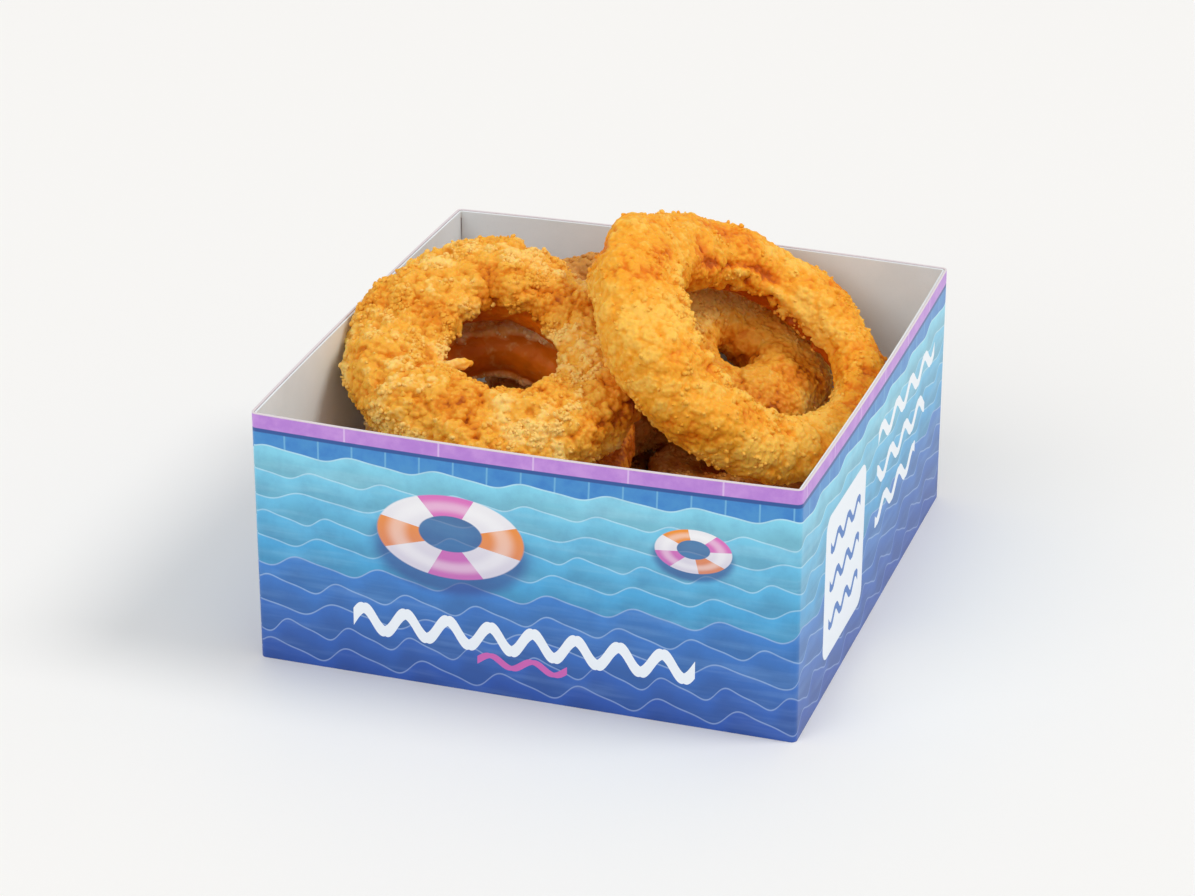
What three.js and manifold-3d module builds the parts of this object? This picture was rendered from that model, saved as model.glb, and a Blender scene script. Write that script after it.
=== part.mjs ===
// A side of onion rings: battered, breaded and fried rings heaped in an open card tray.
// Millimetres, +Z up. The origin is the middle of the tray's underside, and +Y is the back.

import * as THREE from 'three';
import { mergeVertices } from 'three/addons/utils/BufferGeometryUtils.js';
import Module from 'manifold-3d';

// The tray: a folded card box without a lid.
const trayWidth = 120;
const trayDepth = 125;
const trayHeight = 58;
const board = 1;
const foldRadius = 1.2;
const foldSteps = 3;
const wallSteps = 8;
const heightSteps = 5;
// How far the middle of each wall's rim leans out of line.
const rimBow = { front: 1.8, back: 1.8, left: 0.8, right: 0.8 };

// The rings' mesh: steps round the ring and round its section.
const roundSteps = 42;
const sectionSteps = 12;
// The section is a superellipse, between a circle (2) and a square.
const sectionPower = 2.5;
// The share of the crust's lumps that is left on the wall of the hole.
const holeLumps = 0.35;

// Each ring, before it is laid in place: its centre line's mean radius, and half the breadth
// and half the height of its section. oval and corner are the shares by which the centre line
// swells twice and three times round, thick is the share by which the section does once round,
// and warp is the height in millimetres by which the ring bends out of its plane. The second
// value of each is the angle round the ring at which it peaks. lumps scales the crust's lumps.
// The ring is turned about its own axis by turn, then its axis leans by an angle towards a
// direction seen from above, and place is its centre. Angles are in degrees. swells are bulges
// of the coat, or dents where out is negative, in millimetres: at and reach are angles round
// the ring and round its section, which starts outside and rises over the top.
const rings = [
  {
    name: 'ring_top_left', radius: 23, halfBreadth: 10.2, halfHeight: 8,
    oval: [0.03, -50], corner: [0.02, 53], thick: [0.08, -120], warp: [0.9, 110],
    lumps: 1, seed: 3,
    swells: [
      { at: [110, 150], reach: [45, 35], out: 1.2 },
      { at: [55, 150], reach: [30, 30], out: 2 },
      { at: [160, 145], reach: [20, 30], out: 1.6 },
      { at: [142, 60], reach: [18, 40], out: -1.6 },
      { at: [75, 70], reach: [14, 40], out: -1 },
      { at: [50, 45], reach: [22, 40], out: -2 },
      { at: [-17, 40], reach: [30, 40], out: 1 },
      { at: [-90, 120], reach: [50, 35], out: -1 },
    ],
    turn: 0, lean: { by: 25, toward: -57 }, place: [-25.2, -5, 50.6],
  },
  {
    name: 'ring_top_right', radius: 29.5, halfBreadth: 8.2, halfHeight: 6.9,
    oval: [0.01, 40], corner: [0.01, 28], thick: [0.16, 205], warp: [1.2, 30],
    lumps: 0.7, seed: 8,
    swells: [
      { at: [-127, 125], reach: [34, 40], out: 2.8 },
      { at: [150, 160], reach: [24, 36], out: 4.8 },
      { at: [-172, 26], reach: [15, 34], out: 2 },
      { at: [124, 72], reach: [13, 40], out: -2 },
      { at: [66, 75], reach: [12, 40], out: 1.6 },
    ],
    turn: 0, lean: { by: 36, toward: -12 }, place: [24, 20, 51],
  },
  {
    name: 'ring_middle_right', radius: 14.2, halfBreadth: 8.3, halfHeight: 5.8,
    oval: [0.03, 10], corner: [0.02, 50], thick: [0.06, 30], warp: [0.8, 0],
    lumps: 0.6, seed: 5,
    turn: -11, lean: { by: 32.5, toward: -28 }, place: [16.6, 37.6, 39.3],
  },
  {
    name: 'ring_middle_left', radius: 23.3, halfBreadth: 8, halfHeight: 6.4,
    oval: [0.03, 90], corner: [0.02, 10], thick: [0.06, 200], warp: [1, 90],
    lumps: 0.7, seed: 14,
    turn: 6, lean: { by: 25, toward: -61.5 }, place: [-26.2, -2.5, 33.8],
  },
  {
    name: 'ring_back', radius: 19.2, halfBreadth: 7.2, halfHeight: 6.2,
    oval: [0.04, 0], corner: [0.02, 20], thick: [0.06, 100], warp: [0.8, 40],
    lumps: 0.8, seed: 11,
    turn: 19.5, lean: { by: 40.5, toward: -61 }, place: [-16.8, 38.6, 34.2],
  },
  {
    name: 'ring_bottom_1', radius: 20.5, halfBreadth: 8, halfHeight: 6.4,
    oval: [0.03, 20], corner: [0.02, 80], thick: [0.08, 0], warp: [0.8, 10],
    lumps: 0.6, seed: 17,
    turn: -3, lean: { by: 3, toward: 8 }, place: [-28.1, -30.4, 9.6],
  },
  {
    name: 'ring_bottom_2', radius: 20.5, halfBreadth: 8, halfHeight: 6.4,
    oval: [0.04, 70], corner: [0.02, 30], thick: [0.08, 90], warp: [0.8, 60],
    lumps: 0.6, seed: 20,
    turn: 0, lean: { by: 9.5, toward: -37 }, place: [-29.6, 29.3, 11.8],
  },
  {
    name: 'ring_bottom_3', radius: 20.5, halfBreadth: 8, halfHeight: 6.4,
    oval: [0.03, 120], corner: [0.02, 60], thick: [0.08, 180], warp: [0.8, 20],
    lumps: 0.6, seed: 23,
    turn: 0.5, lean: { by: 7.5, toward: -45 }, place: [30, -30.2, 12.3],
  },
  {
    name: 'ring_bottom_4', radius: 20.5, halfBreadth: 8.2, halfHeight: 7.2,
    oval: [0.04, 160], corner: [0.02, 0], thick: [0.08, 270], warp: [0.8, 80],
    lumps: 0.6, seed: 26,
    turn: -0.5, lean: { by: 12.5, toward: -164 }, place: [27.9, 28.8, 15.6],
  },
];

const tau = 2 * Math.PI;
const radians = THREE.MathUtils.degToRad;

const wasm = await Module();
wasm.setup();

function bareGeometry(geometry) {
  geometry.deleteAttribute('normal');
  geometry.deleteAttribute('uv');
  return mergeVertices(geometry, 1e-3);
}

function toManifold(geometry) {
  const merged = bareGeometry(geometry);
  return new wasm.Manifold(new wasm.Mesh({
    numProp: 3,
    vertProperties: Float32Array.from(merged.attributes.position.array),
    triVerts: Uint32Array.from(merged.index.array),
  }));
}

function fromManifold(solid) {
  const mesh = solid.getMesh();
  const geometry = new THREE.BufferGeometry();
  geometry.setAttribute('position', new THREE.BufferAttribute(mesh.vertProperties, 3));
  geometry.setIndex(new THREE.BufferAttribute(mesh.triVerts, 1));
  geometry.computeVertexNormals();
  return geometry;
}

// The tray

function trayOutline(inset) {
  const halfX = trayWidth / 2 - inset;
  const halfY = trayDepth / 2 - inset;
  const radius = Math.max(foldRadius - inset, 0.3);
  const corners = [[1, 1], [-1, 1], [-1, -1], [1, -1]];
  const points = [];
  corners.forEach(([sideX, sideY], quarter) => {
    const arc = [];
    for (let i = 0; i <= foldSteps; i += 1) {
      const angle = (quarter + i / foldSteps) * tau / 4;
      arc.push(new THREE.Vector2(
        sideX * (halfX - radius) + radius * Math.cos(angle),
        sideY * (halfY - radius) + radius * Math.sin(angle),
      ));
    }
    if (points.length) points.push(...wallPoints(points.at(-1), arc[0]));
    points.push(...arc);
  });
  points.push(...wallPoints(points.at(-1), points[0]));
  return new THREE.Shape(points);
}

function wallPoints(from, to) {
  const points = [];
  for (let i = 1; i < wallSteps; i += 1) {
    points.push(from.clone().lerp(to, i / wallSteps));
  }
  return points;
}

// The card stands straight at the folds and bows out towards the middle of each rim.
function bowWalls(geometry) {
  const position = geometry.attributes.position;
  for (let i = 0; i < position.count; i += 1) {
    const x = position.getX(i);
    const y = position.getY(i);
    const acrossX = x / (trayWidth / 2);
    const acrossY = y / (trayDepth / 2);
    const up = (position.getZ(i) / trayHeight) ** 2;
    const bowY = y > 0 ? rimBow.back : rimBow.front;
    const bowX = x > 0 ? rimBow.right : rimBow.left;
    position.setX(i, x + acrossX * bowX * up * Math.max(0, 1 - acrossY ** 2));
    position.setY(i, y + acrossY * bowY * up * Math.max(0, 1 - acrossX ** 2));
  }
  return geometry;
}

function trayGeometry() {
  const outside = new THREE.ExtrudeGeometry(trayOutline(0), {
    depth: trayHeight,
    steps: heightSteps,
    bevelEnabled: false,
  });
  const inside = new THREE.ExtrudeGeometry(trayOutline(board), {
    depth: trayHeight,
    steps: heightSteps,
    bevelEnabled: false,
  });
  inside.translate(0, 0, board);
  return fromManifold(toManifold(bowWalls(outside)).subtract(toManifold(bowWalls(inside))));
}

// The rings

// A Lehmer generator: each draw multiplies the state, modulo a prime.
const lehmer = { start: 17, stride: 7919, multiplier: 16807, prime: 2147483647 };

function seededDraws(seed) {
  let state = seed * lehmer.stride + lehmer.start;
  return () => {
    state = (state * lehmer.multiplier) % lehmer.prime;
    return state / lehmer.prime;
  };
}

// The crust's lumps: waves round the ring and round its section, at heights drawn from the seed.
const lumpWaves = [[3, 1], [4, 2], [6, 1], [7, 3], [9, 2], [11, 1], [12, 3]];

function lumpField(seed) {
  const draw = seededDraws(seed);
  const waves = lumpWaves.map(([round, section]) => ({
    round,
    section: draw() < 0.5 ? section : -section,
    phase: draw() * tau,
    height: 0.25 + 0.3 * draw(),
  }));
  return (u, v) => waves.reduce(
    (sum, wave) => sum + wave.height * Math.sin(wave.round * u + wave.section * v + wave.phase),
    0,
  );
}

// The sum of a ring's swells at an angle round the ring and one round its section.
function swellField(swells) {
  const apart = (angle, middle) => (
    THREE.MathUtils.euclideanModulo(THREE.MathUtils.radToDeg(angle) - middle + 180, 360) - 180
  );
  return (u, v) => swells.reduce((sum, { at, reach, out }) => {
    const round = apart(u, at[0]) / reach[0];
    const over = apart(v, at[1]) / reach[1];
    return sum + out * Math.exp(-(round ** 2) - over ** 2);
  }, 0);
}

function power(value) {
  return Math.sign(value) * Math.abs(value) ** (2 / sectionPower);
}

function ringGeometry(ring) {
  const geometry = new THREE.TorusGeometry(ring.radius, ring.halfBreadth, sectionSteps, roundSteps);
  const lump = lumpField(ring.seed);
  const swell = swellField(ring.swells ?? []);
  const wave = (times, [share, peak], u) => share * Math.cos(times * (u - radians(peak)));
  const { position, uv } = geometry.attributes;
  for (let i = 0; i < position.count; i += 1) {
    const u = uv.getX(i) * tau;
    const v = uv.getY(i) * tau;
    const line = ring.radius * (1 + wave(2, ring.oval, u) + wave(3, ring.corner, u));
    const thick = 1 + wave(1, ring.thick, u);
    const outward = (1 + Math.cos(v)) / 2;
    const crag = ring.lumps * THREE.MathUtils.lerp(holeLumps, 1, outward) * lump(u, v);
    const bump = crag + swell(u, v);
    const out = line + (ring.halfBreadth * thick + bump) * power(Math.cos(v));
    const rise = (ring.halfHeight * thick + bump) * power(Math.sin(v));
    position.setXYZ(i, out * Math.cos(u), out * Math.sin(u), rise + wave(2, ring.warp, u));
  }
  return bareGeometry(geometry);
}

function layRing(ring) {
  const geometry = ringGeometry(ring);
  geometry.computeVertexNormals();
  const material = new THREE.MeshStandardMaterial({ color: 0xe0922e, roughness: 0.75, metalness: 0 });
  const mesh = new THREE.Mesh(geometry, material);
  const toward = radians(ring.lean.toward);
  const tiltAxis = new THREE.Vector3(-Math.sin(toward), Math.cos(toward), 0);
  mesh.name = ring.name;
  mesh.quaternion.setFromAxisAngle(tiltAxis, radians(ring.lean.by));
  mesh.rotateZ(radians(ring.turn));
  mesh.position.set(...ring.place);
  return mesh;
}

// The whole side

function buildTray() {
  const material = new THREE.MeshStandardMaterial({ color: 0x3a8fc4, roughness: 0.45, metalness: 0 });
  const mesh = new THREE.Mesh(trayGeometry(), material);
  mesh.name = 'tray';
  return mesh;
}

const onionRingsSide = new THREE.Group();
onionRingsSide.add(buildTray(), ...rings.map(layRing));

export default onionRingsSide;
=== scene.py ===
# A side of onion rings: crumbed, fried rings heaped in an open printed card tray.
# Metres, +Z up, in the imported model's frame: the tray stands on z = 0 and its front faces -Y.

import math

import bmesh
import bpy
import numpy as np
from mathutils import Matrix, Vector
from mathutils import noise as turbulence


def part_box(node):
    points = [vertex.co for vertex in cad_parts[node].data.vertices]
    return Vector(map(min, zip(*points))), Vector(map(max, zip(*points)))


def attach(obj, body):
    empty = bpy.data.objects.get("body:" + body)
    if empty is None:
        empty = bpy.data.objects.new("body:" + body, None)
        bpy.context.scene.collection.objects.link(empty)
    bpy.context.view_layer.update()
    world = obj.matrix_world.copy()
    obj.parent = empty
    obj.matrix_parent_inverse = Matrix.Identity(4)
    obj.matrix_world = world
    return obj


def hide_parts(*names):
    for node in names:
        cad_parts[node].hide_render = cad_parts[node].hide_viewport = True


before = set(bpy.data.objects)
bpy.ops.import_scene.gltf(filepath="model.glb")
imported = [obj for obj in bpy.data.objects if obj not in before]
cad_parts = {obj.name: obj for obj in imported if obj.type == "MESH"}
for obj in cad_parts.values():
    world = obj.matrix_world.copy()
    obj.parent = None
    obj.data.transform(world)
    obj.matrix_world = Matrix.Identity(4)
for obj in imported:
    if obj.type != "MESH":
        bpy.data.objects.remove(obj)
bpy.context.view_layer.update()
mm = 0.001


# --- Table, studio light and camera ---
# The side stands on a plain white table, in a bright studio: a broad soft lamp high on the
# right, a softer one on the left in front, and white walls all round.

def add_node(tree, kind, inputs=None, **settings):
    """Adds a shader node, sets its options, and sets or links its sockets."""
    made = tree.nodes.new(kind)
    for name, value in settings.items():
        setattr(made, name, value)
    for key, value in (inputs or {}).items():
        if isinstance(value, bpy.types.NodeSocket):
            tree.links.new(value, made.inputs[key])
        else:
            made.inputs[key].default_value = value
    return made


def colour(red, green, blue):
    """A shader colour from the 0 to 255 values that a colour picker shows."""
    linear = [((c / 255 + 0.055) / 1.055) ** 2.4 if c > 10 else c / 255 / 12.92
              for c in (red, green, blue)]
    return (*linear, 1)


def new_material(name):
    material = bpy.data.materials.new(name)
    material.use_nodes = True
    shader = material.node_tree.nodes["Principled BSDF"]
    return material, material.node_tree, shader


table_size = 6
bpy.ops.object.select_all(action="DESELECT")
bpy.ops.mesh.primitive_plane_add(size=table_size, location=(0, 0, 0))
table_top = bpy.context.object
table_top.name = "table_top"
white_table, tree, shader = new_material("white_table")
shader.inputs["Base Color"].default_value = colour(244, 243, 241)
shader.inputs["Roughness"].default_value = 0.6
table_top.data.materials.append(white_table)


def add_lamp(name, toward, strength, spread, tint):
    """A broad soft lamp, so far away that its light is parallel."""
    bpy.ops.object.light_add(type="SUN", location=toward)
    lamp = bpy.context.object
    lamp.name = name
    lamp.rotation_mode = "QUATERNION"
    lamp.rotation_quaternion = lamp.location.to_track_quat("Z", "Y")
    lamp.data.energy = strength
    lamp.data.angle = math.radians(spread)
    lamp.data.color = tint


add_lamp("lamp_right", (0.7, 0.15, 0.85), 1.15, 22, (1, 0.98, 0.95))
add_lamp("lamp_left", (-0.3, -0.85, 0.75), 0.8, 50, (0.98, 0.99, 1))

studio = bpy.data.worlds.new("studio")
studio.use_nodes = True
walls = studio.node_tree.nodes["Background"]
walls.inputs["Color"].default_value = colour(255, 255, 255)
walls.inputs["Strength"].default_value = 0.62
bpy.context.scene.world = studio
bpy.context.scene.view_settings.view_transform = "Standard"

camera_place = (0.226324, -0.690558, 0.368259)
camera_round = math.radians(18.45)
camera_down = math.radians(24.894)
bpy.ops.object.camera_add(
    location=camera_place, rotation=(math.pi / 2 - camera_down, 0, camera_round))
camera = bpy.context.object
camera.data.sensor_width = 36
camera.data.lens = 108.28
camera.data.clip_start = 0.01
bpy.context.scene.camera = camera


# --- Tray: the printed shell ---
# The outer wall of the tray: half-millimetre card, printed outside, folded up at four creases.
# Each wall stands straight at the creases and bows out towards the middle of its rim.

tray_width = 120 * mm
tray_depth = 125 * mm
tray_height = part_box("tray")[1][2]
card = 0.5 * mm
layer_gap = 0.1 * mm
crease_radius = 1.2 * mm
side_bow = 0.8 * mm
end_bow = 1.8 * mm
rim_rounding = 0.12 * mm
sharp = math.radians(60)
seam_start = 2 * mm


def start_edit(piece):
    """Makes one piece the active one, alone selected, and opens its mesh."""
    bpy.ops.object.select_all(action="DESELECT")
    bpy.context.view_layer.objects.active = piece
    piece.select_set(True)
    bpy.ops.object.mode_set(mode="EDIT")


def select(piece, kind, wanted):
    """Selects, in edit mode, the edges or faces that pass a test, and nothing else."""
    mesh = bmesh.from_edit_mesh(piece.data)
    bpy.ops.mesh.select_all(action="DESELECT")
    for element in getattr(mesh, kind):
        if wanted(element):
            element.select_set(True)
    bmesh.update_edit_mesh(piece.data)


def apply_modifier(piece, kind, **settings):
    bpy.ops.object.select_all(action="DESELECT")
    bpy.context.view_layer.objects.active = piece
    piece.select_set(True)
    made = piece.modifiers.new(kind.lower(), kind)
    for name, value in settings.items():
        setattr(made, name, value)
    bpy.ops.object.modifier_apply(modifier=made.name)


def cut_across(piece, normal, places):
    """Cuts the mesh by parallel planes, so that a wall can bend between them."""
    for place in places:
        bpy.ops.mesh.select_all(action="SELECT")
        bpy.ops.mesh.bisect(plane_co=[n * place for n in normal], plane_no=normal)


def mesh_points(mesh):
    points = np.empty(3 * len(mesh.vertices))
    mesh.vertices.foreach_get("co", points)
    return points.reshape(-1, 3)


def set_mesh_points(mesh, points):
    mesh.vertices.foreach_set("co", points.ravel())
    mesh.update()


def folded_box(name, inset, floor, top, corner, corner_steps):
    """An open box of no thickness, inset from the tray's outside, with its walls bowed. It is
    cut round a little below the rim, where the seams of the lining start."""
    width = tray_width - 2 * inset
    depth = tray_depth - 2 * inset
    bpy.ops.object.select_all(action="DESELECT")
    bpy.ops.mesh.primitive_cube_add(size=1, location=(0, 0, (floor + top) / 2),
                                    scale=(width, depth, top - floor))
    box = bpy.context.object
    box.name = name
    bpy.ops.object.transform_apply(location=True, rotation=True, scale=True)
    start_edit(box)
    select(box, "faces", lambda face: face.normal.z > 0.9)
    bpy.ops.mesh.delete(type="ONLY_FACE")
    select(box, "edges", lambda edge: abs(edge.verts[0].co.z - edge.verts[1].co.z) > top / 2)
    bpy.ops.mesh.bevel(offset=corner, segments=corner_steps, affect="EDGES")
    steps = np.linspace(-0.5, 0.5, 13)[1:-1]
    cut_across(box, (1, 0, 0), steps * width)
    cut_across(box, (0, 1, 0), steps * depth)
    cut_across(box, (0, 0, 1), np.linspace(floor, top, 9)[1:-1])
    cut_across(box, (0, 0, 1), [tray_height - seam_start])
    bpy.ops.object.mode_set(mode="OBJECT")
    points = mesh_points(box.data)
    x, y, z = points.T
    up = (z / tray_height) ** 2
    lean_x = x / (tray_width / 2)
    lean_y = y / (tray_depth / 2)
    points[:, 0] += lean_x * side_bow * up * np.clip(1 - lean_y ** 2, 0, 1)
    points[:, 1] += lean_y * end_bow * up * np.clip(1 - lean_x ** 2, 0, 1)
    set_mesh_points(box.data, points)
    return box


tray_shell = folded_box("tray_shell", 0, 0, tray_height, crease_radius, 5)
apply_modifier(tray_shell, "SOLIDIFY", thickness=card, offset=-1, use_even_offset=True)
apply_modifier(tray_shell, "BEVEL", width=rim_rounding, segments=2, limit_method="ANGLE",
               angle_limit=sharp)


def lay_print(piece):
    """A UV map in metres: the way round the walls from the front left crease, and the height,
    or below nothing on the bare inside and underside."""
    layer = piece.data.uv_layers.new(name="print_lie")
    mesh = piece.data
    for face in mesh.polygons:
        front_or_right = face.normal.x - face.normal.y > 0
        outward = face.normal.x * face.center.x + face.normal.y * face.center.y
        bare = outward < 0 or face.normal.z < -0.7
        for loop in face.loop_indices:
            x, y, z = mesh.vertices[mesh.loops[loop].vertex_index].co
            way = (x + tray_width / 2) + (y + tray_depth / 2)
            if not front_or_right:
                way = 2 * (tray_width + tray_depth) - way
            layer.data[loop].uv = (way, -1 if bare else z)


lay_print(tray_shell)

# The print: a border of lilac tiles along the rim, a navy line, a strip of small blue tiles, and
# rows of waves below them, light at the top and deep blue at the foot. Heights are above the
# tray's underside, and each row of waves has so many of them round the four walls.

border_foot = 54.5 * mm
border_tile, border_joint = 20.6 * mm, 0.36 * mm
line_foot = 53.6 * mm
strip_tile, strip_joint = 7.4 * mm, 0.34 * mm
row_tops = np.linspace(50.4, 3.6, 10)
light_rows = 5
wave_counts = (26, 31, 23, 35, 28)


def new_group(name, inputs, outputs):
    """A shader node group, its input node's sockets by name, and its output node."""
    tree = bpy.data.node_groups.new(name, "ShaderNodeTree")
    for label, kind in inputs:
        tree.interface.new_socket(label, in_out="INPUT", socket_type=kind)
    for label, kind in outputs:
        tree.interface.new_socket(label, in_out="OUTPUT", socket_type=kind)
    entry = tree.nodes.new("NodeGroupInput")
    leave = tree.nodes.new("NodeGroupOutput")
    return tree, entry.outputs, leave.inputs


def reckon(tree, operation, *values):
    """A Math node's result."""
    return add_node(tree, "ShaderNodeMath", dict(enumerate(values)),
                    operation=operation).outputs[0]


def mix(tree, share, below, above):
    """One colour laid over another by a share."""
    made = add_node(tree, "ShaderNodeMix", {0: share, 6: below, 7: above}, data_type="RGBA")
    return made.outputs[2]


def step_up(tree, value, start, end):
    """0 below start, 1 above end, and smooth between them."""
    made = add_node(tree, "ShaderNodeMapRange",
                    {"Value": value, "From Min": start, "From Max": end},
                    interpolation_type="SMOOTHSTEP")
    return made.outputs["Result"]


def noise(tree, place, scale, detail=2.0, roughness=0.5, stretch=(1, 1, 1), shift=(0, 0, 0)):
    """Soft noise from 0 to 1, of so many features a metre."""
    moved = add_node(tree, "ShaderNodeMapping",
                     {"Vector": place, "Scale": stretch, "Location": shift})
    made = add_node(tree, "ShaderNodeTexNoise", {
        "Vector": moved.outputs[0], "Scale": scale, "Detail": detail, "Roughness": roughness})
    return made.outputs["Fac"]


def grid_line(tree, value, spacing, width):
    """1 on thin lines that repeat at a spacing, and 0 between them."""
    share = reckon(tree, "FRACT", reckon(tree, "DIVIDE", value, spacing))
    off = reckon(tree, "ABSOLUTE", reckon(tree, "SUBTRACT", share, 0.5))
    half = width / spacing / 2
    return step_up(tree, off, 0.5 - half * 1.6, 0.5 - half * 0.6)


def make_wave_print():
    tree, entry, leave = new_group(
        "wave_print", [("Lie", "NodeSocketVector")], [("Color", "NodeSocketColor")])
    lie = entry["Lie"]
    parts = add_node(tree, "ShaderNodeSeparateXYZ", {0: lie}).outputs
    along, up = parts[0], parts[1]
    mottle = noise(tree, lie, 190, 4, 0.65)
    streaks = noise(tree, lie, 60, 3, 0.6, stretch=(0.5, 5, 1))

    # The strip of small tiles and the rows of waves, painted from the top row down. Each row
    # has a pale crest, and darkens a little below it.
    strip = mix(tree, step_up(tree, mottle, 0.3, 0.7), colour(40, 124, 200), colour(66, 152, 216))
    strip_joints = grid_line(tree, along, strip_tile, strip_joint)
    paint = mix(tree, reckon(tree, "MULTIPLY", strip_joints, 0.5), strip, colour(140, 208, 236))
    round_walls = 2 * (tray_width + tray_depth)
    shallow, shallow_foot = np.array((132, 216, 242)), np.array((70, 172, 226))
    deep, deep_foot = np.array((52, 128, 208)), np.array((30, 84, 178))
    for row, top in enumerate(row_tops):
        turns = math.tau * wave_counts[row % len(wave_counts)] / round_walls
        phase = reckon(tree, "MULTIPLY_ADD", along, turns, 2.1 * row)
        swing = reckon(tree, "MULTIPLY_ADD", reckon(tree, "SINE", phase), 0.6, phase)
        height = (0.8 + 0.12 * row) * mm
        edge = reckon(tree, "MULTIPLY_ADD", reckon(tree, "SINE", swing), height, top * mm)
        over = reckon(tree, "SUBTRACT", edge, up)
        upper, lower = (shallow, shallow_foot) if row < light_rows else (deep, deep_foot)
        tone = upper + (lower - upper) * (row % light_rows) / (light_rows - 1)
        painted = mix(tree, step_up(tree, over, 0.0, 5.5 * mm), colour(*tone), colour(*tone * 0.86))
        painted = mix(tree, reckon(tree, "MULTIPLY", step_up(tree, streaks, 0.45, 0.75), 0.4),
                      painted, colour(*(tone * 0.7 + 70)))
        crest = reckon(tree, "SUBTRACT", 1.0, step_up(tree, over, 0.2 * mm, 0.55 * mm))
        painted = mix(tree, reckon(tree, "MULTIPLY", crest, 0.75), painted,
                      colour(*(tone * 0.45 + 135)))
        paint = mix(tree, step_up(tree, over, 0.0, 0.12 * mm), paint, painted)
    paint = mix(tree, reckon(tree, "MULTIPLY", step_up(tree, mottle, 0.35, 0.75), 0.18), paint,
                colour(28, 70, 140))

    # The navy line and the lilac border.
    paint = mix(tree, step_up(tree, up, line_foot, line_foot + 0.3 * mm), paint,
                colour(24, 78, 152))
    lilac = mix(tree, step_up(tree, mottle, 0.35, 0.7), colour(182, 124, 214), colour(200, 146, 224))
    lilac_joints = grid_line(tree, along, border_tile, border_joint)
    lilac = mix(tree, reckon(tree, "MULTIPLY", lilac_joints, 0.75), lilac, colour(226, 196, 240))
    paint = mix(tree, step_up(tree, up, border_foot, border_foot + 0.25 * mm), paint, lilac)
    tree.links.new(paint, leave["Color"])
    return tree


def make_swim_ring():
    """A striped swimming ring afloat, seen aslant, laid over the colour below it with its
    shadow."""
    tree, entry, leave = new_group("swim_ring", [
        ("Color", "NodeSocketColor"), ("Lie", "NodeSocketVector"), ("Middle", "NodeSocketVector"),
        ("Width", "NodeSocketFloat"), ("Turn", "NodeSocketFloat")], [("Color", "NodeSocketColor")])
    off = add_node(tree, "ShaderNodeVectorMath", {0: entry["Lie"], 1: entry["Middle"]},
                   operation="SUBTRACT").outputs[0]
    parts = add_node(tree, "ShaderNodeSeparateXYZ", {0: off}).outputs
    half = reckon(tree, "DIVIDE", entry["Width"], 2.0)
    across = reckon(tree, "DIVIDE", parts[0], half)
    rise = reckon(tree, "DIVIDE", parts[1], reckon(tree, "MULTIPLY", half, 0.6))

    def reach(lift, narrow):
        """How far out of the ring's middle, lifted and narrowed: 1 on the outline."""
        shifted = reckon(tree, "SUBTRACT", rise, lift)
        ways = add_node(tree, "ShaderNodeCombineXYZ", {0: across, 1: shifted}).outputs[0]
        length = add_node(tree, "ShaderNodeVectorMath", {0: ways}, operation="LENGTH").outputs[1]
        return reckon(tree, "DIVIDE", length, narrow)

    far = reach(0.0, 1.0)
    hole = reach(0.08, 0.42)
    angle = reckon(tree, "DIVIDE", reckon(tree, "ARCTAN2", rise, across), math.tau)
    sector = reckon(tree, "FRACT", reckon(tree, "ADD", reckon(tree, "MULTIPLY", angle, 2.0),
                                          entry["Turn"]))
    stripes = add_node(tree, "ShaderNodeValToRGB", {0: sector})
    stripes.color_ramp.interpolation = "CONSTANT"
    orange, white, pink = colour(244, 146, 34), colour(240, 238, 242), colour(222, 112, 190)
    stripes.color_ramp.elements[0].color = orange
    stripes.color_ramp.elements[1].position = 0.25
    stripes.color_ramp.elements[1].color = white
    for position, shade in ((0.5, pink), (0.75, white)):
        stripes.color_ramp.elements.new(position).color = shade
    lit = step_up(tree, rise, -0.9, 0.9)
    vinyl = mix(tree, reckon(tree, "MULTIPLY_ADD", lit, -0.3, 0.3), stripes.outputs[0],
                colour(120, 90, 170))
    crest = reckon(tree, "SUBTRACT", 1.0, step_up(
        tree, reckon(tree, "ABSOLUTE", reckon(tree, "SUBTRACT", far, 0.72)), 0.02, 0.2))
    vinyl = mix(tree, reckon(tree, "MULTIPLY", crest, 0.35), vinyl, colour(255, 255, 255))
    shadow = reckon(tree, "SUBTRACT", 1.0, step_up(tree, reach(-0.32, 1.12), 0.8, 1.05))
    below = mix(tree, reckon(tree, "MULTIPLY", shadow, 0.7), entry["Color"], colour(36, 62, 140))
    inside = reckon(tree, "MULTIPLY", reckon(tree, "SUBTRACT", 1.0, step_up(tree, far, 0.97, 1.0)),
                    step_up(tree, hole, 0.98, 1.04))
    tree.links.new(mix(tree, inside, below, vinyl), leave["Color"])
    return tree


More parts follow.
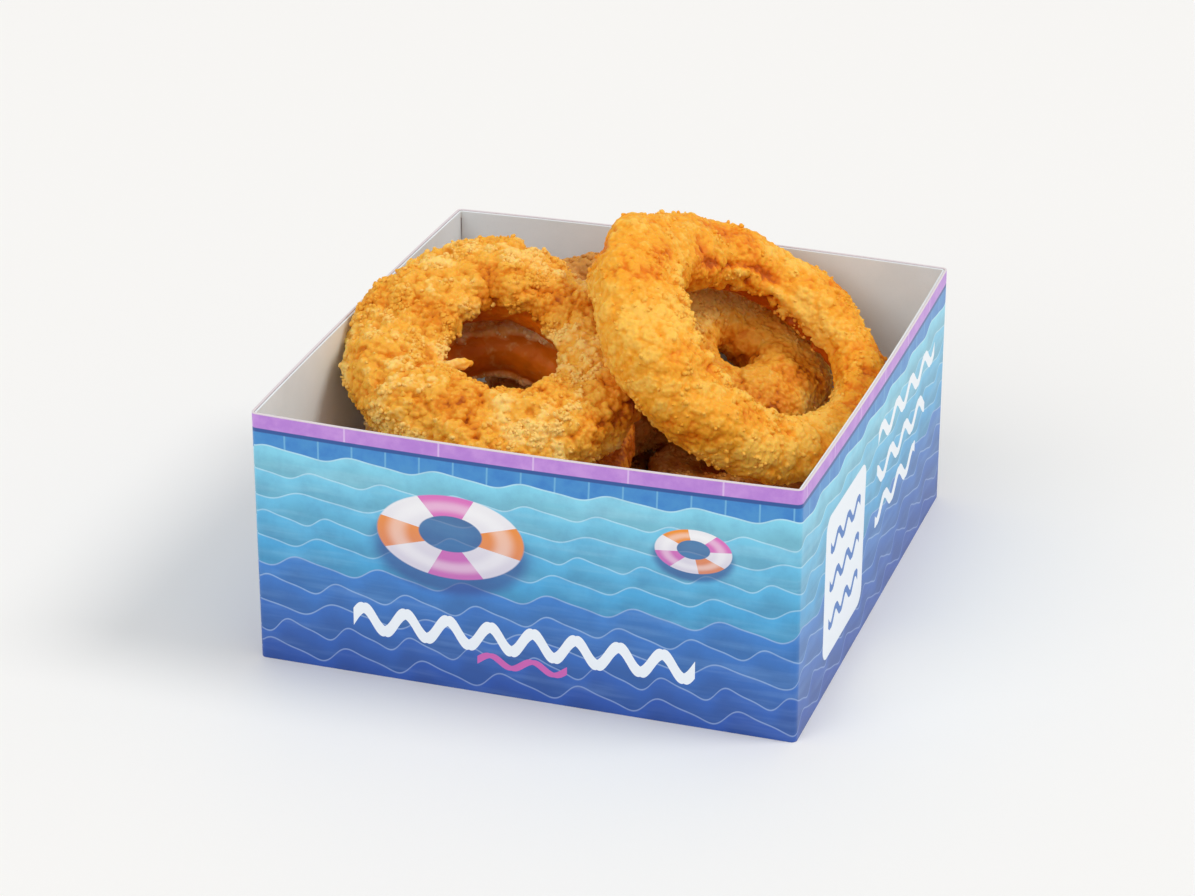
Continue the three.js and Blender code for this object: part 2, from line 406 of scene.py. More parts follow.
def make_wave_stripe():
    """A wavy painted stripe with square ends, laid over the colour below it."""
    tree, entry, leave = new_group("wave_stripe", [
        ("Color", "NodeSocketColor"), ("Lie", "NodeSocketVector"), ("Middle", "NodeSocketVector"),
        ("Length", "NodeSocketFloat"), ("Height", "NodeSocketFloat"), ("Wave", "NodeSocketFloat"),
        ("Thickness", "NodeSocketFloat"), ("Paint", "NodeSocketColor")],
        [("Color", "NodeSocketColor")])
    off = add_node(tree, "ShaderNodeVectorMath", {0: entry["Lie"], 1: entry["Middle"]},
                   operation="SUBTRACT").outputs[0]
    parts = add_node(tree, "ShaderNodeSeparateXYZ", {0: off}).outputs
    phase = reckon(tree, "MULTIPLY", reckon(tree, "DIVIDE", parts[0], entry["Wave"]), math.tau)
    line = reckon(tree, "MULTIPLY", reckon(tree, "SINE", phase), entry["Height"])
    apart = reckon(tree, "ABSOLUTE", reckon(tree, "SUBTRACT", parts[1], line))
    slope = reckon(tree, "MULTIPLY_ADD", reckon(tree, "ABSOLUTE", reckon(tree, "COSINE", phase)),
                   0.35, 0.5)
    thin = reckon(tree, "LESS_THAN", apart, reckon(tree, "MULTIPLY", entry["Thickness"], slope))
    short = reckon(tree, "LESS_THAN", reckon(tree, "ABSOLUTE", parts[0]),
                   reckon(tree, "DIVIDE", entry["Length"], 2.0))
    share = reckon(tree, "MULTIPLY", thin, short)
    tree.links.new(mix(tree, share, entry["Color"], entry["Paint"]), leave["Color"])
    return tree


def make_plain_panel():
    """A painted rectangle with round corners, laid over the colour below it."""
    tree, entry, leave = new_group("plain_panel", [
        ("Color", "NodeSocketColor"), ("Lie", "NodeSocketVector"), ("Middle", "NodeSocketVector"),
        ("Size", "NodeSocketVector"), ("Corner", "NodeSocketFloat"), ("Paint", "NodeSocketColor")],
        [("Color", "NodeSocketColor")])
    off = add_node(tree, "ShaderNodeVectorMath", {0: entry["Lie"], 1: entry["Middle"]},
                   operation="SUBTRACT").outputs[0]
    far = add_node(tree, "ShaderNodeVectorMath", {0: off}, operation="ABSOLUTE").outputs[0]
    half = add_node(tree, "ShaderNodeVectorMath", {0: entry["Size"], "Scale": 0.5},
                    operation="SCALE").outputs[0]
    corner = add_node(tree, "ShaderNodeCombineXYZ", {
        0: entry["Corner"], 1: entry["Corner"], 2: entry["Corner"]}).outputs[0]
    straight = add_node(tree, "ShaderNodeVectorMath", {0: half, 1: corner},
                        operation="SUBTRACT").outputs[0]
    past = add_node(tree, "ShaderNodeVectorMath", {0: far, 1: straight},
                    operation="SUBTRACT").outputs[0]
    past = add_node(tree, "ShaderNodeVectorMath", {0: past, 1: (0, 0, 0)},
                    operation="MAXIMUM").outputs[0]
    flat = add_node(tree, "ShaderNodeVectorMath", {0: past, 1: (1, 1, 0)},
                    operation="MULTIPLY").outputs[0]
    reach = add_node(tree, "ShaderNodeVectorMath", {0: flat}, operation="LENGTH").outputs[1]
    share = reckon(tree, "LESS_THAN", reach, entry["Corner"])
    tree.links.new(mix(tree, share, entry["Color"], entry["Paint"]), leave["Color"])
    return tree


printed_card, tree, shader = new_material("printed_card")
lie = add_node(tree, "ShaderNodeUVMap", uv_map="print_lie").outputs[0]
wave_print = add_node(tree, "ShaderNodeGroup", node_tree=make_wave_print())
tree.links.new(lie, wave_print.inputs["Lie"])
paint = wave_print.outputs[0]

# Where each wall starts, the way round from the front left crease.
right_wall = tray_width
back_wall = tray_width + tray_depth
left_wall = 2 * tray_width + tray_depth

# Swim rings: where each one's middle lies, its width and its turn. The first two are on the
# front, and the last two on the back and the left wall.
swim_ring = make_swim_ring()
for middle, width, turn in (((44 * mm, 36 * mm, 0), 33 * mm, 0.1),
                            ((97 * mm, 41 * mm, 0), 17 * mm, 0.45),
                            ((back_wall + 70 * mm, 36 * mm, 0), 30 * mm, 0.7),
                            ((left_wall + 40 * mm, 39 * mm, 0), 24 * mm, 0.2)):
    ring_print = add_node(tree, "ShaderNodeGroup", node_tree=swim_ring)
    tree.links.new(paint, ring_print.inputs["Color"])
    tree.links.new(lie, ring_print.inputs["Lie"])
    ring_print.inputs["Middle"].default_value = middle
    ring_print.inputs["Width"].default_value = width
    ring_print.inputs["Turn"].default_value = turn
    paint = ring_print.outputs[0]

# A white panel with round corners on the right wall.
white_paint = colour(240, 246, 252)
pink_paint = colour(206, 96, 180)
blue_paint = colour(44, 112, 192)
panel = add_node(tree, "ShaderNodeGroup", node_tree=make_plain_panel())
tree.links.new(paint, panel.inputs["Color"])
tree.links.new(lie, panel.inputs["Lie"])
panel.inputs["Middle"].default_value = (right_wall + 36 * mm, 25 * mm, 0)
panel.inputs["Size"].default_value = (32 * mm, 34 * mm, 0)
panel.inputs["Corner"].default_value = 3.5 * mm
panel.inputs["Paint"].default_value = white_paint
paint = panel.outputs[0]

# Painted wave stripes: the wall, the place of each one's middle on it in millimetres, its
# thickness, which is also half its waves' height, the length of a wave, its own length, and its
# paint. Two lie on the front, three on the panel, three beside it, and two on the back.
wave_stripe = make_wave_stripe()
for wall, along, height, thick, wave, length, tone in (
        (0, 60, 13.5, 2.4, 9.5, 76, white_paint), (0, 60, 8.1, 1.1, 9.5, 20, pink_paint),
        (right_wall, 36, 34, 1.4, 8, 24, blue_paint),
        (right_wall, 36, 25, 1.4, 8, 24, blue_paint),
        (right_wall, 36, 16, 1.4, 8, 24, blue_paint),
        (right_wall, 88, 42.5, 1.9, 13, 52, white_paint),
        (right_wall, 84, 33, 1.9, 13, 44, white_paint),
        (right_wall, 80, 23.5, 1.9, 13, 36, white_paint),
        (back_wall, 60, 13.5, 2.4, 9.5, 76, white_paint),
        (back_wall, 60, 8.1, 1.1, 9.5, 20, pink_paint)):
    stripe = add_node(tree, "ShaderNodeGroup", node_tree=wave_stripe)
    tree.links.new(paint, stripe.inputs["Color"])
    tree.links.new(lie, stripe.inputs["Lie"])
    stripe.inputs["Middle"].default_value = (wall + along * mm, height * mm, 0)
    stripe.inputs["Length"].default_value = length * mm
    stripe.inputs["Height"].default_value = thick * mm
    stripe.inputs["Wave"].default_value = wave * mm
    stripe.inputs["Thickness"].default_value = thick * mm
    stripe.inputs["Paint"].default_value = tone
    paint = stripe.outputs[0]

# The cut edge of the card along the rim, and its inside and underside, have no print. The card
# is a little fibrous and uneven, under a thin gloss varnish.
cut_edge = 0.25 * mm
card_edge = colour(222, 212, 216)
lie_up = add_node(tree, "ShaderNodeSeparateXYZ", {0: lie}).outputs[1]
bare = reckon(tree, "MAXIMUM", reckon(tree, "GREATER_THAN", lie_up, tray_height - cut_edge),
              reckon(tree, "LESS_THAN", lie_up, 0.0))
tree.links.new(mix(tree, bare, paint, card_edge), shader.inputs["Base Color"])
object_place = add_node(tree, "ShaderNodeTexCoord").outputs["Object"]
fibre = noise(tree, object_place, 900, 4, 0.6)
dents = noise(tree, object_place, 45, 2)
relief = reckon(tree, "MULTIPLY_ADD", dents, 3.0, reckon(tree, "MULTIPLY", fibre, 0.15))
bump = add_node(tree, "ShaderNodeBump", {"Height": relief, "Strength": 0.25,
                                         "Distance": 0.12 * mm})
tree.links.new(bump.outputs[0], shader.inputs["Normal"])
shader.inputs["Roughness"].default_value = 0.42
shader.inputs["Coat Weight"].default_value = 0.2
shader.inputs["Coat Roughness"].default_value = 0.25
tray_shell.data.materials.append(printed_card)
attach(tray_shell, "root")
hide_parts("tray")


# --- Tray: the white lining ---
# The inner wall and floor: unprinted white card, folded down inside the shell. Its panels
# meet at a fine slit in each corner, which ends a little below the rim.

lining_card = 0.4 * mm
lining_inset = card + layer_gap
lining_drop = 0.25 * mm
slit = 0.4 * mm
lining_rounding = 0.08 * mm
tray_lining = folded_box("tray_lining", lining_inset, lining_inset, tray_height - lining_drop,
                         slit, 1)
start_edit(tray_lining)
select(tray_lining, "faces", lambda face: abs(abs(face.normal.x) - abs(face.normal.y)) < 0.3
       and face.calc_center_median().z < tray_height - seam_start and abs(face.normal.z) < 0.5)
bpy.ops.mesh.delete(type="FACE")
bpy.ops.object.mode_set(mode="OBJECT")
apply_modifier(tray_lining, "SOLIDIFY", thickness=lining_card, offset=-1, use_even_offset=True)
apply_modifier(tray_lining, "BEVEL", width=lining_rounding, segments=1, limit_method="ANGLE",
               angle_limit=sharp)

white_board, tree, shader = new_material("white_board")
object_place = add_node(tree, "ShaderNodeTexCoord").outputs["Object"]
cloudy = noise(tree, object_place, 60, 3)
fibres = noise(tree, object_place, 1500, 4, 0.7)
board = mix(tree, step_up(tree, cloudy, 0.3, 0.7), colour(226, 233, 236), colour(236, 242, 245))
board = mix(tree, reckon(tree, "MULTIPLY", step_up(tree, fibres, 0.55, 0.75), 0.25), board,
            colour(212, 218, 222))
tree.links.new(board, shader.inputs["Base Color"])
bump = add_node(tree, "ShaderNodeBump", {
    "Height": reckon(tree, "MULTIPLY_ADD", cloudy, 4.0, reckon(tree, "MULTIPLY", fibres, 0.3)),
    "Strength": 0.3, "Distance": 0.1 * mm})
tree.links.new(bump.outputs[0], shader.inputs["Normal"])
shader.inputs["Roughness"].default_value = 0.75
tray_lining.data.materials.append(white_board)
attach(tray_lining, "root")
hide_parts("tray")


# --- Rings: the crusts ---
# Slices of onion in a thick coat of crumbed batter, fried golden. The coat is uneven: it stands
# up in lobes and clumps of crumbs outside, and is thin, smoother and browner on the hole's wall.

lobe_size = 11 * mm
lump_size = 4.2 * mm
clump_size = 2.8 * mm
crumb_size = 1.15 * mm
grit_size = 0.7 * mm
grit_share = 0.2
rag_size, rag_height = 2.6 * mm, 3.6 * mm
wall_sink = 0.9 * mm
wall_calm = 0.72
lip_lumps = 2.4 * mm

# Places along the right top ring's hole, by turn and roll in degrees, where its lip is torn into
# rags: first the near lip, then the far one. Each tear fades out at its reach.
torn_lips = {"ring_top_right": [
    (-170, 126), (-157, 125), (-144, 123), (-131, 121), (-118, 121), (-105, 122), (-91, 123),
    (-76, 124), (-60, 126), (138, 156), (124, 163), (110, 169), (97, 177), (84, 188),
    (72, 204), (56, 216)]}
tear_reach = (9, 11)


def ring_lie(solid):
    """A ring's centre, read from its solid, and its directions: to the right, back and up."""
    points = mesh_points(solid.data)
    centre = points.mean(axis=0)
    up = np.linalg.eigh(np.cov((points - centre).T))[1][:, 0]
    up = up * np.sign(up[2])
    back = np.cross(up, (1, 0, 0))
    back /= np.linalg.norm(back)
    return centre, np.array([np.cross(back, up), back, up])


def smooth(value, start, end):
    """0 below start, 1 above end, and smooth between them."""
    share = np.clip((value - start) / (end - start), 0, 1)
    return share * share * (3 - 2 * share)


def mesh_normals(mesh):
    normals = np.empty(3 * len(mesh.vertices))
    mesh.vertex_normals.foreach_get("vector", normals)
    return normals.reshape(-1, 3)


def ring_angles(points, centre, directions):
    """Each point's turn round the ring from its right side, and its roll round the section
    from the outside over the top, in degrees."""
    x, y, z = ((points - centre) @ directions.T).T
    reach = np.hypot(x, y)
    radius = (reach.max() + reach.min()) / 2
    return np.degrees(np.arctan2(y, x)), np.degrees(np.arctan2(z, reach - radius))


def apart(angle, middle):
    """Degrees from middle to an angle, the short way round."""
    return (angle - middle + 180) % 360 - 180


def near(angles, place, reaches, steepness=2):
    """1 at a place on a ring, and fading out at its reach in degrees round and over the ring."""
    turn, roll = angles
    return np.exp(-np.abs(apart(turn, place[0]) / reaches[0]) ** steepness
                  - np.abs(apart(roll, place[1]) / reaches[1]) ** steepness)


def unevenness(points, size):
    """Noise from -1 to 1 at each point, with features of a size."""
    return np.array([turbulence.noise(point / size) for point in map(Vector, points)])


def raise_clumps(piece, name, kind, size, height, group, **options):
    """Displaces the surface by a texture of clumps of one size."""
    texture = bpy.data.textures.new(name, kind)
    texture.noise_scale = size
    for option, value in options.items():
        setattr(texture, option, value)
    apply_modifier(piece, "DISPLACE", texture=texture, texture_coords="LOCAL", strength=height,
                   mid_level=0.5, vertex_group=group)
    bpy.data.textures.remove(texture)


def save_values(mesh, name, values):
    mesh.attributes.new(name, "FLOAT", "POINT").data.foreach_set("value", values)


def read_values(mesh, name):
    values = np.empty(len(mesh.vertices))
    mesh.attributes[name].data.foreach_get("value", values)
    return values


def round_off(mesh):
    """Shades every face smoothly into the next."""
    for face in mesh.polygons:
        face.use_smooth = True


def weigh(piece, name, weights):
    """A vertex group from one weight for each point, in steps of a twentieth."""
    group = piece.vertex_groups.new(name=name)
    steps = np.round(np.clip(weights, 0, 1) * 20).astype(int)
    for step in np.unique(steps):
        group.add(np.nonzero(steps == step)[0].tolist(), step / 20, "REPLACE")


def fry_ring(solid_name, look):
    """The crumbed ring made over its solid, to one of the looks listed below. Where a hole's
    wall is bare the coat ends in a ragged lip, and the wall lies a little deeper."""
    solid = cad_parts[solid_name]
    ring = bpy.data.objects.new(solid_name + "_crust", solid.data.copy())
    bpy.context.collection.objects.link(ring)
    ring.data.materials.clear()
    start_edit(ring)
    bpy.ops.mesh.select_all(action="SELECT")
    bpy.ops.mesh.remove_doubles(threshold=1e-6)
    bpy.ops.mesh.tris_convert_to_quads(face_threshold=math.pi, shape_threshold=math.pi)
    bpy.ops.object.mode_set(mode="OBJECT")
    apply_modifier(ring, "SUBSURF", levels=2, render_levels=2)
    apply_modifier(ring, "REMESH", mode="VOXEL", voxel_size=look["grain"])
    points = mesh_points(ring.data)
    angles = ring_angles(points, *ring_lie(solid))
    bare = sum((near(angles, place, reaches, 4) for place, reaches in look["bare_walls"]),
               np.zeros(len(points)))
    hole_wall = smooth(bare + 0.35 * unevenness(points, lip_lumps), 0.4, 0.6)
    # Each dent's last value makes the coat lighter where it is positive and darker where it is
    # negative: painted light and shade, carried to the colour in the relief attribute.
    dent, painted_light_and_shade = np.zeros((2, len(points)))
    for place, reaches, height, painted_light_shift in look["dents"]:
        dent += height * near(angles, place, reaches)
        painted_light_and_shade += painted_light_shift * near(angles, place, reaches)
    push = (dent - wall_sink * hole_wall).reshape(-1, 1)
    set_mesh_points(ring.data, points + mesh_normals(ring.data) * push)

    weigh(ring, "crumbly", 1 - wall_calm * hole_wall)
    torn = np.zeros(len(points))
    for place in torn_lips.get(solid_name, []):
        torn = np.maximum(torn, near(angles, place, tear_reach))
    weigh(ring, "ragged", torn)
    lobes, lumps, clumps, crumbs = look["heights"]
    raise_clumps(ring, "lobes", "CLOUDS", lobe_size, lobes, "", noise_depth=0)
    before = mesh_points(ring.data)
    normals = mesh_normals(ring.data)
    round_clumps = {"distance_metric": "DISTANCE_SQUARED"}
    raise_clumps(ring, "lumps", "CLOUDS", lump_size, lumps, "crumbly", noise_depth=1)
    raise_clumps(ring, "rags", "VORONOI", rag_size, -rag_height, "ragged", **round_clumps)
    raise_clumps(ring, "clumps", "VORONOI", clump_size, -clumps, "crumbly", **round_clumps)
    raise_clumps(ring, "crumbs", "VORONOI", crumb_size, -crumbs, "crumbly", **round_clumps)
    raise_clumps(ring, "grit", "CLOUDS", grit_size, crumbs * grit_share, "crumbly",
                 noise_depth=1)
    apply_modifier(ring, "SMOOTH", factor=0.5, iterations=1)
    relief = ((mesh_points(ring.data) - before) * normals).sum(axis=1)
    relief = (relief - relief.mean()) / relief.std()
    # The relief attribute carries the dents' painted light and shade as well as the height.
    save_values(ring.data, "relief", relief + painted_light_and_shade)
    save_values(ring.data, "hole_wall", hole_wall)
    save_values(ring.data, "torn", torn)
    round_off(ring.data)
    return ring


def make_fried_crumb():
    """The colour of a crumbed coat: pale on the crumbs' tips as painted light, orange and brown
    between them as painted shade, in patches fried lighter and darker, and the hole's bare wall in
    its own colour, stained."""
    tree, entry, leave = new_group("fried_crumb", [
        ("Place", "NodeSocketVector"), ("Relief", "NodeSocketFloat"), ("Hole", "NodeSocketFloat"),
        ("Pale", "NodeSocketColor"), ("Golden", "NodeSocketColor"), ("Deep", "NodeSocketColor"),
        ("Brown", "NodeSocketColor"), ("Wall", "NodeSocketColor")],
        [("Color", "NodeSocketColor"), ("Hollows", "NodeSocketFloat")])
    patches = noise(tree, entry["Place"], 85, 2)
    mottle = noise(tree, entry["Place"], 420, 2, 0.55)
    nodules = add_node(tree, "ShaderNodeTexVoronoi", {
        "Vector": entry["Place"], "Scale": 1100, "Smoothness": 0.6}, feature="SMOOTH_F1")
    hollows = nodules.outputs["Distance"]
    # The level rises with the relief, so the crumbs' tips are painted lighter as painted light, and
    # falls in the nodules' hollows as painted shade; the relief also brings in the dents' painted
    # light and shade, and the patches and mottle shift it at random.
    level = reckon(tree, "MULTIPLY_ADD", entry["Relief"], 0.1, 0.62)
    for source, strength in ((patches, 1.6), (mottle, 0.35), (hollows, -0.3)):
        off = reckon(tree, "SUBTRACT", source, 0.5)
        level = reckon(tree, "MULTIPLY_ADD", off, strength, level)
    tone = mix(tree, step_up(tree, level, 0.02, 0.24), entry["Brown"], entry["Deep"])
    tone = mix(tree, step_up(tree, level, 0.22, 0.58), tone, entry["Golden"])
    tone = mix(tree, step_up(tree, level, 0.58, 0.95), tone, entry["Pale"])
    bare = reckon(tree, "MULTIPLY", entry["Hole"], step_up(tree, mottle, 0.1, 0.45))
    stains = reckon(tree, "MULTIPLY", step_up(tree, patches, 0.35, 0.65), 0.6)
    wall = mix(tree, stains, entry["Wall"], entry["Brown"])
    tree.links.new(mix(tree, bare, tone, wall), leave["Color"])
    crumbly = reckon(tree, "MULTIPLY_ADD", entry["Hole"], -0.6, 1.0)
    tree.links.new(reckon(tree, "MULTIPLY", hollows, crumbly), leave["Hollows"])
    return tree


fried_crumb = make_fried_crumb()


def crust_material(name, pale, golden, deep, brown, wall):
    """A fried coat's finish: rough and a little see-through, with fine crumbs in relief."""
    material, tree, shader = new_material(name)
    place = add_node(tree, "ShaderNodeTexCoord").outputs["Object"]
    relief = add_node(tree, "ShaderNodeAttribute", attribute_name="relief").outputs["Fac"]
    hole = add_node(tree, "ShaderNodeAttribute", attribute_name="hole_wall").outputs["Fac"]
    coat = add_node(tree, "ShaderNodeGroup", node_tree=fried_crumb)
    for socket, source in {"Place": place, "Relief": relief, "Hole": hole}.items():
        tree.links.new(source, coat.inputs[socket])
    tones = {"Pale": pale, "Golden": golden, "Deep": deep, "Brown": brown, "Wall": wall}
    for socket, tone in tones.items():
        coat.inputs[socket].default_value = tone
    tree.links.new(coat.outputs["Color"], shader.inputs["Base Color"])
    bump = add_node(tree, "ShaderNodeBump", {
        "Height": coat.outputs["Hollows"], "Strength": 0.6, "Distance": 0.4 * mm}, invert=True)
    tree.links.new(bump.outputs[0], shader.inputs["Normal"])
    shader.inputs["Roughness"].default_value = 0.55
    shader.inputs["Specular IOR Level"].default_value = 0.2
    shader.inputs["Subsurface Weight"].default_value = 0.4
    shader.inputs["Subsurface Radius"].default_value = (1, 0.4, 0.1)
    shader.inputs["Subsurface Scale"].default_value = 1.4 * mm
    return material


coarse_crust = crust_material(
    "coarse_crust", pale=colour(252, 208, 116), golden=colour(242, 176, 60),
    deep=colour(226, 136, 20), brown=colour(184, 90, 8), wall=colour(232, 120, 10))
bright_crust = crust_material(
    "bright_crust", pale=colour(252, 194, 82), golden=colour(246, 168, 42),
    deep=colour(232, 128, 10), brown=colour(196, 90, 4), wall=colour(176, 80, 6))
tan_crust = crust_material(
    "tan_crust", pale=colour(252, 202, 104), golden=colour(248, 178, 60),
    deep=colour(230, 138, 22), brown=colour(182, 92, 8), wall=colour(206, 110, 20))
# A darker, browner copy of the crust for the back ring and the bottom rings: painted shade where the
# rings above shade them.
painted_shade_crust = crust_material(
    "painted_shade_crust", pale=colour(208, 146, 70), golden=colour(188, 116, 36),
    deep=colour(168, 90, 16), brown=colour(116, 56, 8), wall=colour(212, 100, 8))
# A lighter copy of the crust for the left middle ring, with whitish crumbs and a bright orange wall:
# partly crumbs a little lighter of their own, and partly painted light that lifts the shade its lip
# and hole lie in under the left top ring.
amber_crust = crust_material(
    "amber_crust", pale=colour(246, 206, 146), golden=colour(232, 168, 86),
    deep=colour(226, 136, 30), brown=colour(176, 84, 6), wall=colour(248, 134, 10))


# --- Rings: the loose crumbs ---
# Crumbs of dry bread fried on to the coat. Five shapes are made once, and each ring gets many of
# them, turned, stretched and half sunk at random, most on the clumps and along its edges.

crumb_groups = 6 * mm
crumb_spacing = 4


def make_crumb_shape(number):
    """The points and triangles of one small lumpy crumb, about 2 across."""
    bpy.ops.object.select_all(action="DESELECT")
    bpy.ops.mesh.primitive_ico_sphere_add(subdivisions=2, radius=1,
                                          location=(crumb_spacing * number, 0, 0))
    crumb = bpy.context.object
    texture = bpy.data.textures.new("crumb_lumps", "CLOUDS")
    texture.noise_scale = 1.1
    apply_modifier(crumb, "DISPLACE", texture=texture, texture_coords="GLOBAL", strength=0.9,
                   mid_level=0.5)
    apply_modifier(crumb, "DECIMATE", ratio=0.6)
    bpy.data.textures.remove(texture)
    points = mesh_points(crumb.data)
    corners = np.array([face.vertices[:] for face in crumb.data.polygons])
    bpy.data.objects.remove(crumb)
    return points - points.mean(axis=0), corners


crumb_shapes = [make_crumb_shape(number) for number in range(5)]

# A loose crumb is too small and dry for light to pass through.
dry_crumb = {}
for crust in (coarse_crust, bright_crust, tan_crust, painted_shade_crust, amber_crust):
    dry_crumb[crust.name] = crust.copy()
    shader = dry_crumb[crust.name].node_tree.nodes["Principled BSDF"]
    shader.inputs["Subsurface Weight"].default_value = 0


def crumb_chance(ring):
    """How readily a crumb sticks at each point: most on the clumps, in groups, and on lips."""
    relief = read_values(ring.data, "relief")
    hole_wall = read_values(ring.data, "hole_wall")
    groups = 0.2 + smooth(unevenness(mesh_points(ring.data), crumb_groups), -0.1, 0.35)
    lip = 4 * hole_wall * (1 - hole_wall)
    chance = (1 - hole_wall) ** 2 * (smooth(relief, -0.6, 1.4) * groups + 2 * lip)
    return chance + 1.5 * read_values(ring.data, "torn") * smooth(relief, -0.6, 0.6)


def scatter_crumbs(ring, solid_name, seed, count, largest):
    """One piece with all the crumbs of a ring."""
    draws = np.random.default_rng(seed)
    points = mesh_points(ring.data)
    normals = mesh_normals(ring.data)
    chance = crumb_chance(ring)
    chosen = draws.choice(len(points), count, replace=False, p=chance / chance.sum())
    all_points, all_corners, all_relief = [], [], []
    total = 0
    for place, out in zip(points[chosen], normals[chosen]):
        shape, corners = crumb_shapes[draws.integers(len(crumb_shapes))]
        size = largest * (0.45 + 0.55 * draws.random() ** 2) / 2
        upright = np.asarray(out) + 0.35 * draws.normal(size=3)
        upright /= np.linalg.norm(upright)
        side = np.cross(upright, draws.normal(size=3))
        side /= np.linalg.norm(side)
        axes = np.array([side, np.cross(upright, side), upright])
        stretch = size * np.array([1, 0.7 + 0.4 * draws.random(), 0.6 + 0.6 * draws.random()])
        all_points.append(place + out * size * 0.1 + (shape * stretch) @ axes)
        all_corners.append(corners + total)
        # Each crumb is painted lighter on its upper side, as painted light, and lighter or darker at
        # random.
        all_relief.append(1 + 0.6 * shape[:, 2] + 0.4 * draws.normal())
        total += len(shape)
    mesh = bpy.data.meshes.new(solid_name + "_crumbs")
    mesh.from_pydata(np.concatenate(all_points), [], np.concatenate(all_corners))
    crumbs = bpy.data.objects.new(solid_name + "_crumbs", mesh)
    bpy.context.collection.objects.link(crumbs)
    save_values(mesh, "relief", np.concatenate(all_relief))
    save_values(mesh, "hole_wall", np.zeros(total))
    round_off(mesh)
    return crumbs



# --- Rings: each one's look ---
# The nine rings of the heap, each fried by itself. The two on top are the largest and the palest,
# one coarse and one fine, the ring under the right one is tan, and those below are painted
# browner, a darker copy of the crust as painted shade under the rings above.
#
# A look gives a ring's crust, the grain of its mesh, and the heights of its lobes, lumps, clumps
# and crumbs. Its dents are the places, by turn and roll, with their reaches in degrees, where the
# coat is raised or pressed in by so much and made lighter or darker by so much, as painted light
# and shade, and its bare walls those where the hole's wall has no crumbs. Then come its count of
# loose crumbs and the size of the largest.

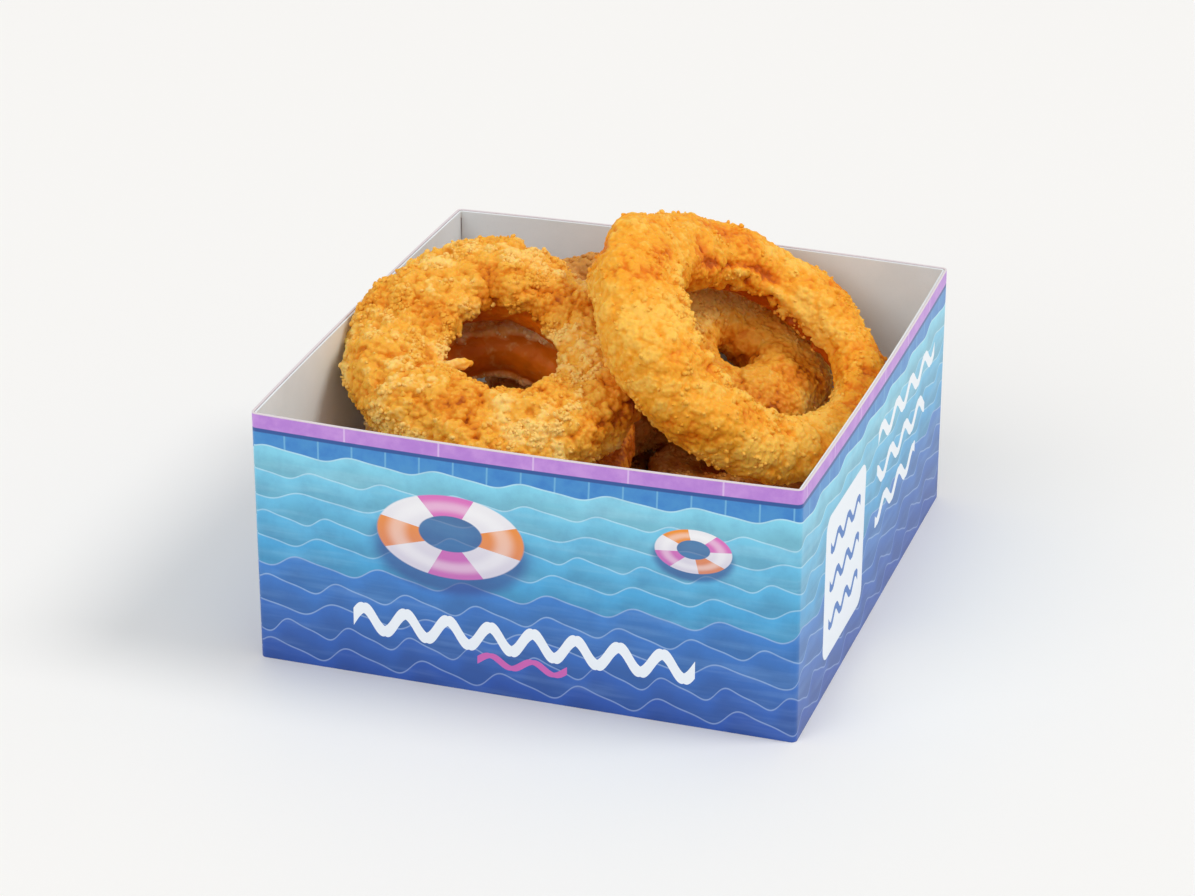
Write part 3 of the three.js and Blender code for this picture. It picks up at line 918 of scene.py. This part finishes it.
all_round = 1000
bare_hole = [((0, 190), (all_round, 48))]
ring_looks = {
    "ring_top_left": {
        "crust": coarse_crust, "grain": 0.355 * mm,
        "heights": (3.4 * mm, 2.0 * mm, 1.5 * mm, 1.1 * mm),
        # Its dents paint shade into the coat: darker in the crease at the back, on the right flank
        # where the right top ring shades it, and in three smaller patches.
        "dents": [((118, 132), (9, 42), -1.8 * mm, -7), ((-8, 25), (30, 45), 0, -5),
                  ((-95, 75), (18, 35), 0, -2.5), ((150, 110), (14, 30), 0, -2),
                  ((50, 90), (16, 45), 0, -3.5)],
        "bare_walls": [((0, 208), (all_round, 44))], "crumbs": 2200, "largest": 1.4 * mm},
    "ring_top_right": {
        "crust": bright_crust, "grain": 0.375 * mm,
        "heights": (1.8 * mm, 0.8 * mm, 0.8 * mm, 0.8 * mm),
        # A groove is pressed along the far band's inner side, its deep orange partly the groove's
        # own colour and partly painted shade; the lip's inner side is painted darker as shade, and
        # the raised lip lighter as a painted highlight.
        "dents": [((152, 124), (6, 14), -1.6 * mm, -4.5), ((151, 146), (9, 11), -2 * mm, -8),
                  ((134, 157), (12, 10), -1.4 * mm, -7), ((108, 149), (16, 9), -1 * mm, -5),
                  ((104, 176), (14, 9), 0, -7), ((82, 166), (26, 9), 1.5 * mm, 2)],
        "bare_walls": [((60, 224), (80, 40)), ((-120, 214), (70, 40))],
        "crumbs": 900, "largest": 1.3 * mm},
    "ring_middle_right": {
        "crust": tan_crust, "grain": 0.34 * mm,
        "heights": (1.4 * mm, 0.8 * mm, 0.6 * mm, 0.8 * mm),
        # Its hole's wall is thickened and painted darker as shade in the hole; its lower right is
        # painted darker where the right top ring shades it, and its upper left lighter, as painted
        # light lifting that ring's shadow.
        "dents": [((0, 185), (all_round, 60), 1.8 * mm, -2), ((-60, 100), (70, 80), 0, -3),
                  ((140, 90), (60, 60), 0, 3)],
        "bare_walls": [], "crumbs": 700, "largest": 1.2 * mm},
    "ring_middle_left": {
        "crust": amber_crust, "grain": 0.38 * mm,
        "heights": (2 * mm, 1.6 * mm, 0.9 * mm, 0.6 * mm),
        # Its right front flank is painted much darker, as painted shade.
        "dents": [((-40, 0), (70, 60), 0, -10)],
        "bare_walls": [((0, 152), (all_round, 56))], "crumbs": 900, "largest": 1.2 * mm},
    "ring_back": {
        "crust": painted_shade_crust, "grain": 0.4 * mm,
        "heights": (2 * mm, 1.4 * mm, 1.2 * mm, 0.7 * mm), "dents": [],
        "bare_walls": bare_hole, "crumbs": 900, "largest": 1.6 * mm}}
for number in range(1, 5):
    ring_looks[f"ring_bottom_{number}"] = {
        "crust": painted_shade_crust, "grain": 0.55 * mm,
        "heights": (2 * mm, 1.2 * mm, 0.9 * mm, 0.6 * mm),
        "dents": [((178, 60), (30, 45), 2.6 * mm, 0)],
        "bare_walls": bare_hole, "crumbs": 600, "largest": 1.6 * mm}

for seed, (solid_name, look) in enumerate(ring_looks.items()):
    ring = fry_ring(solid_name, look)
    crumbs = scatter_crumbs(ring, solid_name, seed, look["crumbs"], look["largest"])
    ring.data.materials.append(look["crust"])
    crumbs.data.materials.append(dry_crumb[look["crust"].name])
    for piece in (ring, crumbs):
        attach(piece, "root")
        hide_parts(solid_name)


# --- Left top ring: the pale flake ---
# A drop of batter that ran out from the ring's lip and set over its hole, pale and lumpy, with
# its root in the crust.

flake_place = (-30.8 * mm, -16.2 * mm, 53.8 * mm)
flake_halves = (3.2 * mm, 1.5 * mm, 1.2 * mm)
flake_turn = (0, math.radians(-6), math.radians(20))
flake_lump, flake_lump_height = 1.5 * mm, 1.2 * mm
bpy.ops.object.select_all(action="DESELECT")
bpy.ops.mesh.primitive_ico_sphere_add(subdivisions=4, radius=1, scale=flake_halves,
                                      location=flake_place, rotation=flake_turn)
flake = bpy.context.object
flake.name = "ring_top_left_flake"
bpy.ops.object.transform_apply(location=True, rotation=True, scale=True)
raise_clumps(flake, "flake_lumps", "CLOUDS", flake_lump, flake_lump_height, "", noise_depth=1)
size = len(flake.data.vertices)
save_values(flake.data, "relief", np.full(size, 3.0))
save_values(flake.data, "hole_wall", np.zeros(size))
round_off(flake.data)
flake.data.materials.append(coarse_crust)
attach(flake, "root")
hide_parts("ring_top_left")
